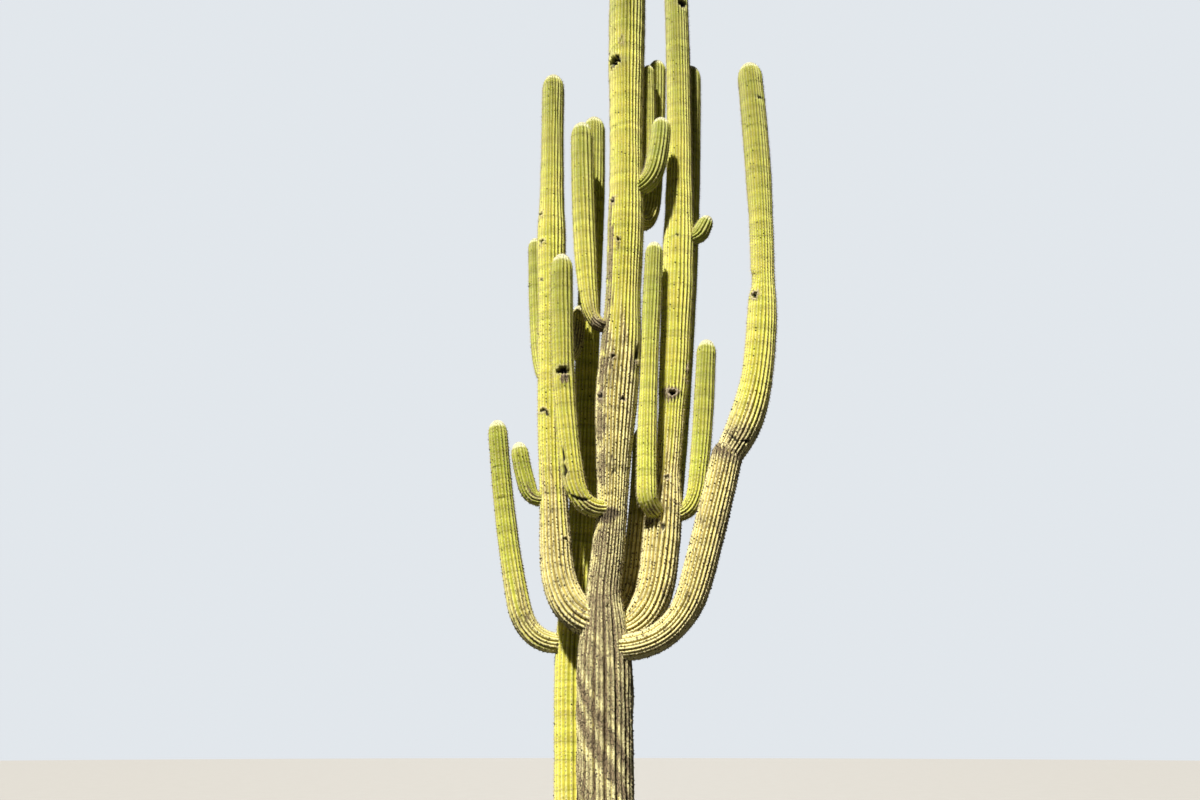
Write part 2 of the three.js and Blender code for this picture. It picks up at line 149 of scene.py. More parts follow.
# An arm starts at foot, inside the stem that carries it, turns round corner, aims along aim and
# ends at tip. Rise is the share of the way from corner to aim where the elbow ends and the column
# starts. Elbow and column are their radii, evenly spaced. Dome is the height of the tip's dome,
# where it isn't CROWN_HEIGHT. A jointed arm ends in a corky joint, and not in wool.
ARMS = [
    dict(name="right_tall", ribs=24, skin="old_skin", tan=5.1, worn=3.2, fresh=3.6,
         foot=(0.09, 0.06, 2.81), corner=(0.53, 0.25, 2.9), aim=(1.085, 0.28, 7), tip=(1.085, 0.28, 12.42),
         rise=0.17, elbow=(0.16, 0.214, 0.222),
         column=(0.224, 0.22, 0.156, 0.164, 0.19, 0.2, 0.214, 0.21, 0.188, 0.176, 0.172, 0.172, 0.172,
                 0.171, 0.17)),
    dict(name="outer_right", ribs=24, skin="old_skin", tan=6.5, worn=3,
         foot=(0.08, -0.09, 2.64), corner=(0.78, -0.19, 2.62), aim=(1.18, -0.19, 3.9), tip=(1.475, -0.19, 5),
         rise=0.55, elbow=(0.14, 0.154, 0.174), column=(0.18, 0.186, 0.182), dome=1.15, jointed=True),
    dict(name="outer_right_top", ribs=24, skin="old_skin", tan=5.35, worn=5.1,
         foot=(1.42, -0.19, 4.8), corner=(1.7, -0.19, 5.18), aim=(2.095, -0.19, 7),
         tip=(2.01, -0.19, 10.51), fresh=3.8, rise=0.33, elbow=(0.172, 0.204, 0.19),
         column=(0.186, 0.184, 0.148, 0.152, 0.166, 0.168, 0.166)),
    dict(name="right_hook", ribs=16, skin="young_skin", tan=3.9, worn=3.9,
         foot=(0.76, 0.26, 4.23), corner=(1.045, 0.2, 4.15), aim=(1.195, 0.2, 5.15), tip=(1.3, 0.2, 6.47),
         rise=0.45, elbow=(0.084, 0.104, 0.112), column=(0.114, 0.122, 0.124, 0.122)),
    dict(name="back_right", ribs=16, skin="old_skin", tan=4.6, worn=3,
         foot=(0.06, 0.13, 2.9), corner=(0.619, 0.68, 2.978), aim=(1.126, 0.68, 6.283),
         tip=(1.298, 0.6, 11.143), rise=0.2, elbow=(0.14, 0.15, 0.146),
         column=(0.142, 0.13, 0.132, 0.142, 0.148, 0.15)),
    dict(name="back_low", ribs=14, skin="old_skin", tan=4.4, worn=3,
         foot=(0.02, 0.08, 3.12), corner=(0.25, 0.42, 2.98), aim=(0.46, 0.47, 4.6), tip=(0.468, 0.47, 5.38),
         rise=0.4, elbow=(0.1, 0.118, 0.126), column=(0.128, 0.126, 0.122)),
    dict(name="back_high", ribs=16, skin="old_skin", tan=8, worn=8,
         foot=(0.33, 0.1, 8.3), corner=(0.593, 0.4, 8.11), aim=(0.711, 0.45, 9.216), tip=(0.786, 0.45, 11.12),
         rise=0.5, elbow=(0.096, 0.117, 0.127), column=(0.129, 0.133, 0.133)),
    dict(name="back_thin", ribs=14, skin="old_skin", tan=8, worn=8,
         foot=(0.37, 0.06, 8.78), corner=(0.583, 0.13, 8.755), aim=(0.632, 0.135, 9.605),
         tip=(0.632, 0.135, 10.761), rise=0.45, elbow=(0.07, 0.082, 0.084),
         column=(0.086, 0.087, 0.086)),
    dict(name="high_front", ribs=16, skin="young_skin", tan=8, worn=8,
         foot=(0.4, -0.04, 8.56), corner=(0.61, -0.13, 8.57), aim=(0.74, -0.15, 9.15),
         tip=(0.775, -0.15, 9.625), rise=0.5, elbow=(0.096, 0.128, 0.138), column=(0.14, 0.134)),
    dict(name="inner", ribs=16, skin="young_skin", tan=3.9, worn=3.9,
         foot=(0.66, 0.19, 4.185), corner=(0.486, -0.03, 4.278), aim=(0.48, -0.03, 5.1),
         tip=(0.648, -0.03, 7.76), rise=0.12, elbow=(0.076, 0.112, 0.118),
         column=(0.119, 0.117, 0.113, 0.113, 0.117, 0.114)),
    dict(name="front_left", ribs=16, skin="old_skin", tan=4.1, worn=3.8,
         foot=(0.02, -0.05, 4.215), corner=(-0.305, -0.15, 4.136), aim=(-0.525, -0.25, 5.438),
         tip=(-0.542, -0.3, 7.424), rise=0.33, elbow=(0.105, 0.119, 0.131),
         column=(0.131, 0.129, 0.135, 0.138, 0.137)),
    dict(name="left_tall", ribs=22, skin="old_skin", tan=4.5, worn=3.1,
         foot=(-0.08, 0.02, 2.93), corner=(-0.51, 0.05, 3), aim=(-0.69, 0.05, 5.2), tip=(-0.722, 0.05, 10.51),
         rise=0.3, elbow=(0.195, 0.2, 0.192),
         column=(0.188, 0.164, 0.174, 0.17, 0.164, 0.186, 0.158, 0.15, 0.152)),
    dict(name="left_back", ribs=14, skin="young_skin", tan=5.5, worn=5.5,
         foot=(-0.68, 0.11, 5.9), corner=(-0.8, 0.3, 5.93), aim=(-0.88, 0.31, 6.8), tip=(-0.93, 0.31, 8.02),
         rise=0.5, elbow=(0.072, 0.092, 0.1), column=(0.102, 0.104, 0.1)),
    dict(name="low_left", ribs=16, skin="young_skin", tan=3.3, worn=2.8,
         foot=(-0.44, 0.55, 2.76), corner=(-0.9, 0.5, 2.7), aim=(-1.2, 0.5, 3.95), tip=(-1.368, 0.5, 5.49),
         rise=0.4, elbow=(0.112, 0.126, 0.138), column=(0.136, 0.126, 0.122, 0.12)),
    dict(name="upper_left", ribs=16, skin="old_skin", tan=6.6, worn=6.5,
         foot=(0.11, -0.02, 6.57), corner=(-0.16, -0.05, 6.48), aim=(-0.28, -0.06, 7.7),
         tip=(-0.31, -0.06, 9.61), rise=0.34, elbow=(0.07, 0.088, 0.118),
         column=(0.121, 0.146, 0.15, 0.15)),
]
BUDS = [
    dict(name="right_bud", ribs=14, skin="young_skin", tan=7.5, worn=7.5,
         foot=(1.1, 0.24, 7.96), corner=(1.24, 0.2, 7.97), aim=(1.315, 0.19, 8.11), tip=(1.4, 0.19, 8.29),
         rise=0.5, elbow=(0.06, 0.094, 0.114), column=(0.118, 0.108)),
    dict(name="left_bud", ribs=14, skin="young_skin", tan=4, worn=4,
         foot=(-0.64, 0.05, 4.39), corner=(-0.85, 0.05, 4.28), aim=(-0.985, 0.05, 4.7),
         tip=(-1.045, 0.05, 5.05), rise=0.5, elbow=(0.066, 0.086, 0.102), column=(0.106, 0.104)),
    dict(name="middle_bud", ribs=14, skin="young_skin", tan=7.6, worn=6.2,
         foot=(-0.6, 0.12, 6.19), corner=(-0.41, 0.2, 6.19), aim=(-0.35, 0.215, 6.56),
         tip=(-0.325, 0.22, 6.96), rise=0.5, elbow=(0.066, 0.08, 0.092), column=(0.094, 0.092)),
]

# Holes, scars and cracks of a stem. Spot is where one shows in the photograph, in pixels right of
# and down from its upper left corner, and size is half its width and height there. Depth is how
# far it is sunk, and below 0 how far it bulges, and rim is how high its rim stands. Dark is how far
# its floor is painted near black: painted shade in the sunk holes, cracks and pits, and a darker
# tone on the few that bulge. Callus is how far its rim takes its pale colour. Slant tilts its right
# end up, in degrees.
USUAL_MARK = dict(rim=0, dark=1, callus=0, slant=0)
MARKS = {
    "trunk": [
        dict(spot=(612.3, 63), size=(7, 6.4), depth=0.1, rim=0.01, callus=0.25),
        # This shallow, half-dark mark is painted shadow of the front_left elbow on the trunk, over a patch of
        # brown bark.
        dict(spot=(608, 513.5), size=(12, 6), depth=0.004, dark=0.5),
        dict(spot=(616.8, 57), size=(2.2, 4), depth=0.035, callus=0.3, slant=10),
        dict(spot=(621, 39), size=(2, 3), depth=0.01, rim=0.004, dark=0.5, callus=0.5),
        dict(spot=(612, 200), size=(2.6, 2.4), depth=0.035, rim=0.006, callus=0.7),
        dict(spot=(617, 238), size=(2, 2), depth=0.03, rim=0.006, callus=0.6),
        dict(spot=(618, 244.5), size=(1.1, 3.4), depth=0.01, dark=0.7, callus=0.2, slant=-8),
        dict(spot=(612, 356), size=(2.3, 2.3), depth=0.03, rim=0.006, callus=0.6),
        dict(spot=(638, 353), size=(2, 7.5), depth=0.03, rim=0.004, dark=0.9, callus=0.5),
        dict(spot=(599, 395), size=(2.6, 2.5), depth=0.03, rim=0.006, callus=0.6),
        dict(spot=(623.5, 398), size=(2.3, 2.1), depth=0.03, rim=0.006, callus=0.6, slant=20),
        dict(spot=(612.5, 472), size=(1.2, 5), depth=0.01, dark=0.75, callus=0.1, slant=-25),
        dict(spot=(616, 471), size=(1.1, 4), depth=0.01, dark=0.7, callus=0.1, slant=35),
        dict(spot=(612, 458), size=(1.1, 5), depth=0.01, dark=0.6, callus=0.1, slant=10),
        dict(spot=(606, 603), size=(3.2, 3), depth=-0.02, dark=0.1),
    ],
    "right_tall": [
        dict(spot=(672.3, 392), size=(4, 2.6), depth=0.07, rim=0.016, callus=1),
        dict(spot=(690, 366.5), size=(2.4, 3), depth=0.03, rim=0.01, dark=0.9, callus=0.8, slant=20),
        dict(spot=(688.5, 376), size=(1.6, 5.5), depth=-0.006, dark=0.25, callus=0.8, slant=-10),
        dict(spot=(683, 3), size=(5, 4), depth=0.05, rim=0.004, callus=0.2),
        dict(spot=(677, 234), size=(2.4, 1.1), depth=0.01, dark=0.8, callus=0.3),
        dict(spot=(667, 477), size=(2.2, 2.2), depth=0.015, rim=0.01, dark=0.7, callus=0.7),
        dict(spot=(663, 527), size=(2, 3.8), depth=0.03, rim=0.004, dark=0.95, callus=0.4),
    ],
    "outer_right_top": [
        dict(spot=(751, 281), size=(7, 12), depth=0.022, dark=0),
        dict(spot=(754, 295), size=(3, 2.9), depth=0.05, rim=0.01, callus=0.9),
        dict(spot=(760, 97), size=(3, 1.2), depth=0.02, dark=0.9, callus=0.2),
        dict(spot=(733, 437), size=(9, 1.2), depth=0.012, dark=0.9, slant=-20),
        dict(spot=(746, 441), size=(6, 1.2), depth=0.012, dark=0.9, slant=30),
        dict(spot=(739, 447), size=(1.2, 6), depth=0.012, dark=0.8),
    ],
    "front_left": [
        dict(spot=(562.5, 369.5), size=(9, 3.6), depth=0.055, rim=0.004, callus=0.3),
        dict(spot=(563, 456), size=(1.4, 8), depth=0.015, callus=0.15, slant=-4),
        dict(spot=(564, 471), size=(2.2, 8), depth=0.028, rim=0.003, callus=0.35, slant=-4),
        dict(spot=(579, 498.5), size=(13, 1.7), depth=0.02, slant=-42),
    ],
    "left_tall": [
        dict(spot=(540, 214), size=(2, 2), depth=0.02, rim=0.006, dark=0.9, callus=0.6),
        dict(spot=(541, 241), size=(2.1, 2), depth=0.02, rim=0.006, callus=0.6),
        dict(spot=(541, 279), size=(1.3, 1.3), depth=0.01, rim=0.003, dark=0.9, callus=0.4),
        dict(spot=(541.5, 410), size=(3.2, 2), depth=0.02, rim=0.006, dark=0.95, callus=0.6),
        dict(spot=(546, 412), size=(1.6, 4.5), depth=0.014, callus=0.15, slant=15),
        dict(spot=(566, 538), size=(3, 1.6), depth=0.02, rim=0.01, dark=0.8, callus=0.4),
    ],
    "upper_left": [
        dict(spot=(603, 323), size=(2.5, 2.5), depth=-0.02, dark=0.3, callus=0.4),
    ],
    "low_left": [
        dict(spot=(495, 467), size=(6.5, 0.9), depth=0.008, dark=0.6),
        dict(spot=(501.5, 497), size=(5.5, 0.9), depth=0.008, dark=0.6),
    ],
}

# Corky patches, placed the same way. Strength is how corky they are.
PATCHES = {
    "trunk": [
        dict(spot=(610, 212), size=(3, 16), strength=0.8),
        dict(spot=(609.5, 236), size=(4, 18), strength=0.85),
        dict(spot=(608.5, 264), size=(5, 24), strength=0.85),
        dict(spot=(607, 300), size=(5, 22), strength=0.8),
        dict(spot=(603.5, 335), size=(6, 22), strength=0.85),
        dict(spot=(602, 368), size=(6, 18), strength=0.85),
        dict(spot=(600, 395), size=(5, 12), strength=0.85),
        dict(spot=(635, 362), size=(4.5, 15), strength=0.75),
        dict(spot=(617, 377), size=(9, 4), strength=0.35),
        dict(spot=(621, 425), size=(5, 9), strength=0.3),
        dict(spot=(599, 425), size=(6, 22), strength=0.8),
        dict(spot=(606, 452), size=(4, 14), strength=0.35),
        dict(spot=(600, 468), size=(6, 22), strength=0.75),
        # This corky patch is brown bark, darkened further as painted shadow of the front_left elbow on the
        # trunk.
        dict(spot=(607, 514), size=(15, 10), strength=0.95),
        dict(spot=(599, 543), size=(12, 20), strength=0.8),
        dict(spot=(616, 530), size=(9, 26), strength=0.5),
        dict(spot=(613, 548), size=(22, 34), strength=0.6),
        dict(spot=(604, 588), size=(26, 38), strength=0.74),
        dict(spot=(602, 572), size=(16, 16), strength=0.6),
        dict(spot=(600, 600), size=(16, 14), strength=0.85),
        dict(spot=(614, 608), size=(9, 16), strength=0.7),
        dict(spot=(590, 622), size=(14, 14), strength=0.85),
        dict(spot=(612, 630), size=(20, 14), strength=0.8),
    ],
    "right_tall": [
        dict(spot=(670, 392), size=(13, 9), strength=0.8),
        dict(spot=(690, 370), size=(5, 9), strength=0.7),
        dict(spot=(646, 521), size=(7, 5), strength=0.7),
    ],
    "outer_right": [dict(spot=(725, 450), size=(13, 8), strength=0.85)],
    "outer_right_top": [
        dict(spot=(736, 436), size=(21, 13), strength=0.62),
        dict(spot=(752, 293), size=(3, 5), strength=0.6),
    ],
    "front_left": [
        dict(spot=(565, 378), size=(6.5, 5), strength=1),
        dict(spot=(590, 508), size=(8, 7), strength=0.5),
    ],
    "upper_left": [dict(spot=(597, 328), size=(11, 6), strength=0.95)],
    "low_left": [dict(spot=(530, 622), size=(12, 8), strength=0.4)],
    "inner": [dict(spot=(652, 512), size=(9, 5), strength=0.6)],
    "right_hook": [dict(spot=(688, 519), size=(7, 4), strength=0.5)],
    "left_bud": [dict(spot=(536, 497), size=(4, 5), strength=0.6)],
    "middle_bud": [dict(spot=(580, 335), size=(8, 14), strength=0.6)],
}


# The stems' lines

def eased(values, share):
    """A value that eases from one to the next along an evenly spaced row."""
    values = np.asarray(values, dtype=float)
    place = np.clip(share, 0, 1) * (len(values) - 1)
    step = np.minimum(place.astype(int), len(values) - 2)
    blend = (1 - np.cos(np.pi * (place - step))) / 2
    return values[step] * (1 - blend) + values[step + 1] * blend


def bent(start, middle, end, count):
    """Evenly spaced points of a quadratic curve."""
    share = np.linspace(0, 1, count)[:, None]
    curve = (1 - share) ** 2 * start + 2 * share * (1 - share) * middle + share ** 2 * end
    reach = lengths_along(curve)
    even = np.linspace(0, reach[-1], count)
    return np.column_stack([np.interp(even, reach, curve[:, i]) for i in range(3)])


def lengths_along(points):
    """How far along a line each of its points lies."""
    steps = np.linalg.norm(np.diff(points, axis=0), axis=1)
    return np.concatenate([[0], np.cumsum(steps)])


def through_stations(stations, per_span):
    """Rows eased through the stations, as a centripetal Catmull-Rom curve."""
    rows = np.vstack([2 * stations[0] - stations[1], stations, 2 * stations[-1] - stations[-2]])
    gaps = np.sqrt(np.linalg.norm(np.diff(rows, axis=0), axis=1))
    spans = []
    for i in range(len(stations) - 1):
        a, b, c, d = rows[i:i + 4]
        before, here, after = gaps[i:i + 3]
        leave = ((b - a) / before - (c - a) / (before + here) + (c - b) / here) * here
        enter = ((c - b) / here - (d - b) / (here + after) + (d - c) / after) * here
        share = np.arange(per_span)[:, None] / per_span
        spans.append(b + leave * share + (3 * (c - b) - 2 * leave - enter) * share ** 2
                     + (2 * (b - c) + leave + enter) * share ** 3)
    return np.vstack(spans)


def dome(stem):
    """The height of a stem's rounded end, as a share of its radius."""
    return stem.get("dome", CROWN_HEIGHT)


def standing_line(stem):
    """The points and radii of a stem that stands on the ground, up to its shoulder."""
    stations = np.array(stem["stations"], dtype=float)
    height, lean, radius = through_stations(stations, LINE_POINTS // len(stations)).T
    inward = np.clip(height / stations[SPREAD_STATION, 0], 0, 1)
    back = stem["foot_setback"] + (stem["setback"] - stem["foot_setback"]) * inward
    shoulder_radius = stations[-1, 2]
    shoulder = (stations[-1, 1], stem["setback"], stem["tip"] - dome(stem) * shoulder_radius)
    points = np.vstack([np.column_stack([lean, back, height]), shoulder])
    return points, np.append(radius, shoulder_radius)


def arm_line(stem):
    """The points and radii of an arm, from its foot inside the carrier to its shoulder."""
    names = ("foot", "corner", "aim", "tip")
    foot, corner, aim, tip = (np.array(stem[name], dtype=float) for name in names)
    spring = corner + (aim - corner) * stem["rise"]
    heading = (tip - aim) / np.linalg.norm(tip - aim)
    shoulder = tip - heading * dome(stem) * stem["column"][-1]
    elbow = bent(foot, corner, spring, LINE_POINTS // 3)
    column = bent(spring, aim + (shoulder - aim) * AIM_SHARE, shoulder, LINE_POINTS)
    share = np.linspace(0, 1, LINE_POINTS // 3)
    elbow_radii = eased(stem["elbow"], share)
    column_radii = eased(stem["column"], np.linspace(0, 1, LINE_POINTS))
    return np.vstack([elbow[:-1], column]), np.concatenate([elbow_radii[:-1], column_radii])


def carried_frames(points):
    """The directions along and across at each point, carried on without twist."""
    along = np.gradient(points, axis=0)
    along /= np.linalg.norm(along, axis=1, keepdims=True)
    across = np.empty_like(points)
    direction = np.array([1.0, 0, 0])
    for i, tangent in enumerate(along):
        direction = direction - tangent * direction.dot(tangent)
        direction /= np.linalg.norm(direction)
        across[i] = direction
    return along, across


def finish_line(stem, seed):
    """Adds the worked-out line to a stem: points, radii, lengths, directions and crown."""
    points, radii = standing_line(stem) if "stations" in stem else arm_line(stem)
    stem["points"], stem["radii"], stem["seed"] = points, radii, seed
    stem["places"] = lengths_along(points)
    stem["along"], stem["across"] = carried_frames(points)
    stem["length"] = stem["places"][-1]
    stem["crown"] = dome(stem) * radii[-1]


# Relief of the skin

def waves(place, seed):
    """A smooth seeded wander of about -1 to 1 along one direction."""
    random = np.random.default_rng(seed)
    rates = random.uniform(0.35, 1.9, WAVE_TERMS)
    starts = random.uniform(0, 2 * np.pi, WAVE_TERMS)
    swings = (np.sin(2 * np.pi * place * rate + start) for rate, start in zip(rates, starts))
    return sum(swings) / WAVE_TERMS ** 0.5


def ramp(value, low, high):
    """An eased step from 0 at low to 1 at high."""
    share = np.clip((value - low) / (high - low), 0, 1)
    return share * share * (3 - 2 * share)


def line_at(stem, place):
    """Centre, radius and directions at places along a stem, and on over its crown's dome."""
    places = stem["places"]
    inside = np.minimum(place, stem["length"])
    lift = np.clip((place - stem["length"]) / stem["crown"], 0, 1)
    centre = np.stack([np.interp(inside, places, stem["points"][:, i]) for i in range(3)], axis=-1)
    along = np.stack([np.interp(inside, places, stem["along"][:, i]) for i in range(3)], axis=-1)
    across = np.stack([np.interp(inside, places, stem["across"][:, i]) for i in range(3)], axis=-1)
    along /= np.linalg.norm(along, axis=-1, keepdims=True)
    centre = centre + along * (stem["crown"] * lift)[..., None]
    radius = np.interp(inside, places, stem["radii"]) * np.sqrt(1 - lift ** 2)
    return centre, radius, along, across, np.cross(along, across)


def plain_skin(stem, place, turn):
    """Points of the plain round skin, with their outward directions and radii."""
    centre, radius, _, across, aside = line_at(stem, place)
    outward = across * np.cos(turn)[..., None] + aside * np.sin(turn)[..., None]
    return centre + outward * radius[..., None], outward, radius


def seen_at(points):
    """Where points show in the photograph, in pixels right and down from its corner."""
    pitch = math.radians(CAMERA_PITCH)
    focus = CAMERA_LENS / SENSOR_WIDTH * PHOTO_WIDTH
    away = points - np.array(CAMERA_PLACE)
    ahead = away[..., 1] * math.cos(pitch) + away[..., 2] * math.sin(pitch)
    above = away[..., 2] * math.cos(pitch) - away[..., 1] * math.sin(pitch)
    right = PHOTO_WIDTH / 2 + focus * away[..., 0] / ahead
    return right, PHOTO_HEIGHT / 2 - focus * above / ahead


def pixels_per_metre(stem, place, turn, radius):
    """How large a metre shows in the photograph at a place on a stem, round it and along it."""
    step = np.array([-PROBE, PROBE])
    right, down = seen_at(plain_skin(stem, np.full(2, place), turn + step / radius)[0])
    round_it = math.hypot(right[1] - right[0], down[1] - down[0]) / (2 * PROBE)
    _, down = seen_at(plain_skin(stem, place + step, np.full(2, turn))[0])
    along_it = abs(down[1] - down[0]) / (2 * PROBE)
    return round_it, along_it


def place_marks(stem):
    """Adds to a stem its marks and patches, with where on the stem they lie and their real size.

    Each lies where the side that faces the camera comes nearest to its spot. Places are rounded
    to a centimetre and a degree, and sizes to a millimetre."""
    stem["marks"] = [{**USUAL_MARK, **mark} for mark in MARKS.get(stem["name"], [])]
    stem["patches"] = [{**USUAL_MARK, **patch} for patch in PATCHES.get(stem["name"], [])]
    if not stem["marks"] + stem["patches"]:
        return
    places = np.linspace(0, stem["length"] + SPOT_TOP * stem["crown"], SPOT_PLACES)
    place, turn = np.meshgrid(places, np.linspace(-np.pi, np.pi, SPOT_TURNS), indexing="ij")
    points, outward, radius = plain_skin(stem, place, turn)
    facing = np.sum(outward * (np.array(CAMERA_PLACE) - points), axis=-1) > 0
    right, down = seen_at(points)
    for mark in stem["marks"] + stem["patches"]:
        away = np.hypot(right - mark["spot"][0], down - mark["spot"][1])
        found = np.unravel_index(np.where(facing, away, np.inf).argmin(), away.shape)
        round_it, along_it = pixels_per_metre(stem, place[found], turn[found], radius[found])
        mark["place"] = round(float(place[found]), 2)
        mark["turn"] = round((math.degrees(turn[found]) + 270) % 360 - 180)
        mark["wide"] = round(float(mark["size"][0] / max(round_it, LEAST_SCALE * along_it)), 3)
        mark["tall"] = round(float(mark["size"][1] / along_it), 3)


def mark_reach(mark, place, turn, radius):
    """How far points lie from a mark's middle, where 1 is its uneven rim line."""
    sideways = np.angle(np.exp(1j * (turn - math.radians(mark["turn"] - 90)))) * radius
    upwards = place - mark["place"]
    slant = math.radians(mark["slant"])
    wide_share = (sideways * math.cos(slant) + upwards * math.sin(slant)) / mark["wide"]
    tall_share = (upwards * math.cos(slant) - sideways * math.sin(slant)) / mark["tall"]
    way = np.arctan2(tall_share, wide_share)
    uneven = 1 + 0.14 * np.sin(3 * way + mark["place"] * 7) + 0.08 * np.sin(7 * way + mark["turn"])
    return np.hypot(wide_share, tall_share) * uneven


def rib_reach(stem, place, turn, furrow, worn, shallow):
    """How far out the skin lies, as a share of the radius: its ribs, pinches and lumps."""
    seed = stem["seed"] * 10
    depth = FURROW_DEPTH + (WORN_DEPTH - FURROW_DEPTH) * worn
    depth = depth * (1 + DEPTH_WAVER * waves(place / 0.8 + turn * 0.9, seed + 1))
    depth = depth * (1 - SHALLOW_SHARE * worn * shallow)
    pinches = 0.5 * waves(place / 0.2, seed + 2) + 0.6 * waves(place / 0.6, seed + 3)
    reach = 1 - depth * (1 - np.cos(furrow * np.pi / 2)) ** FURROW_POWER
    reach = reach + PINCH_DEPTH * pinches
    return reach + LUMP_HEIGHT * waves(place / 0.8 + turn / 2, seed + 4) * (0.3 + worn)


def skin_age(stem, place, turn, height, radius, worn):
    """How tan, corky and fresh the skin is, from 0 to 1."""
    seed, end = stem["seed"] * 10, stem["length"]
    tan_height = height + TAN_WAVER * waves(turn * 0.8 + place / 2, seed + 5)
    tan = 1 - ramp(tan_height, stem["tan"] - TAN_BLEND, stem["tan"] + TAN_BLEND)
    cork = stem.get("bark", USUAL_BARK) * worn * (0.8 + 0.2 * waves(place / 0.4 + turn, seed + 6))
    fresh_place = place + FRESH_WAVER * waves(turn, seed + 8)
    fresh = ramp(fresh_place, end - stem.get("fresh", FRESH_REACH), end)
    if stem.get("jointed", False):
        cork = np.maximum(cork, JOINT_CORK * ramp(place, end - JOINT_REACH, end))
    for patch in stem["patches"]:
        reached = mark_reach(patch, place, turn, radius)
        cork = np.maximum(cork, patch["strength"] * (1 - ramp(reached, *PATCH_EDGE)))
    return tan, np.clip(cork, 0, 1), fresh


def mark_relief(stem, place, turn, radius):
    """How far marks push the skin out, and the masks of their floors' painted shade and of their rims."""
    push, hollow_shade, callus = (np.zeros_like(radius) for _ in range(3))
    for mark in stem["marks"]:
        reached = mark_reach(mark, place, turn, radius)
        rim = ramp(reached, *RIM_RISE) * (1 - ramp(reached, *RIM_FALL))
        push = push - mark["depth"] * (1 - ramp(reached, *BOWL_EDGE))
        push = push + mark["rim"] * rim
        hollow_shade = np.maximum(hollow_shade, (1 - ramp(reached, *DARK_EDGE)) * mark["dark"])
        callus = np.maximum(callus, rim * mark["callus"])
    return push, hollow_shade, callus


def skin_at(stem, place, turn, furrow):
    """The skin's points at places along a stem, turns round it and shares of the way to a furrow.

    Also gives the outward directions, the directions along the stem and the masks that the
    materials read."""
    place, turn, furrow = np.broadcast_arrays(place, turn, furrow)
    centre, radius, along, across, aside = line_at(stem, place)
    height = centre[..., 2]
    worn_height = height + WORN_WAVER * waves(turn, stem["seed"] * 10)
    worn = 1 - ramp(worn_height, stem["worn"] - WORN_BLEND, stem["worn"] + WORN_BLEND)
    shallow = np.floor(turn * stem["ribs"] / (2 * np.pi)) % 2
    reach = rib_reach(stem, place, turn, furrow, worn, shallow)
    tan, cork, fresh = skin_age(stem, place, turn, height, radius, worn)
    push, hollow_shade, callus = mark_relief(stem, place, turn, radius)
    outward = across * np.cos(turn)[..., None] + aside * np.sin(turn)[..., None]
    crown = ramp(place, stem["length"] - WOOL_START, stem["length"] + stem["crown"] * WOOL_FULL)
    lifted = (crown * DOME_LIFT)[..., None]
    outward_top = outward * np.sqrt(1 - lifted ** 2) + along * lifted
    points = centre + outward * (radius * reach)[..., None] + outward_top * push[..., None]
    points[..., 2] = np.maximum(points[..., 2], 0)
    # The crest mask carries painted shade into the furrows; on worn skin every second, shallower furrow gets
    # less of it.
    masks = dict(crest=1 - furrow * (1 - 0.5 * worn * shallow), length=place, tan=tan, cork=cork,
                 fresh=fresh, hollow_shade=hollow_shade, callus=callus,
                 crown=crown * (not stem.get("jointed", False)))
    return points, outward_top, along, masks


def ring_places(stem):
    """Where a stem's rings lie: even steps, with close ones where a mark needs them."""
    count = int(stem["length"] / RING_STEP)
    places = list(np.arange(count) * RING_STEP) + [stem["length"]]
    for mark in stem["marks"]:
        middle = mark["place"]
        slanted = mark["wide"] * abs(math.sin(math.radians(mark["slant"])))
        reach = 2 * max(mark["tall"], slanted)
        steps = max(4, int(2 * reach / MARK_STEP))
        close = np.linspace(middle - reach, middle + reach, steps + 1)
        places = [p for p in places if abs(p - middle) > reach + MARK_STEP / 2]
        places += [p for p in close if 0 < p < stem["length"] - MARK_STEP]
    angles = np.arange(1, CROWN_RINGS) * (np.pi / 2 / CROWN_RINGS)
    return np.concatenate([np.sort(places), stem["length"] + stem["crown"] * np.sin(angles)])


def rib_wander(stem, place, turn):
    """How far the ribs wander sideways along a stem, in radians."""
    pitch = 2 * np.pi / stem["ribs"]
    return pitch * WANDER * waves(place / 1.6 + np.cos(turn) * 0.8, stem["seed"] * 10 + 7)


def skin_mesh(stem, material):
    """The whole skin of one stem as a closed mesh, from its flat foot to its pole."""
    places = ring_places(stem)
    around = stem["ribs"] * len(RIB_SHARES)
    shares = np.tile(RIB_SHARES, stem["ribs"])
    side = np.tile(RIB_SIDES, stem["ribs"])
    rib = np.repeat(np.arange(stem["ribs"]), len(RIB_SHARES)) + (side < 0)
    turns = (rib + side * shares / 2) * (2 * np.pi / stem["ribs"])
    place, turn = np.meshgrid(places, turns, indexing="ij")
    points, _, _, masks = skin_at(stem, place, turn + rib_wander(stem, place, turn), shares[None, :])
    pole = line_at(stem, np.array([stem["length"] + stem["crown"]]))[0][0]
    corners = np.vstack([points.reshape(-1, 3), points[0].mean(axis=0), pole])
    here = np.arange(around)
    after = (here + 1) % around
    rows = np.arange(len(places) - 1)[:, None] * around
    quads = np.stack([rows + here, rows + after, rows + after + around, rows + here + around], axis=-1)
    last = (len(places) - 1) * around
    caps = np.vstack([
        np.column_stack([np.full(around, len(corners) - 2), after, here]),
        np.column_stack([np.full(around, len(corners) - 1), last + here, last + after]),
    ])
    values = {name: np.append(mask.ravel(), [mask[0].mean(), mask[-1].mean()])
              for name, mask in masks.items()}
    name = f"{stem['name']}_skin"
    return mesh_object(name, corners, [quads.reshape(-1, 4), caps], material, values)


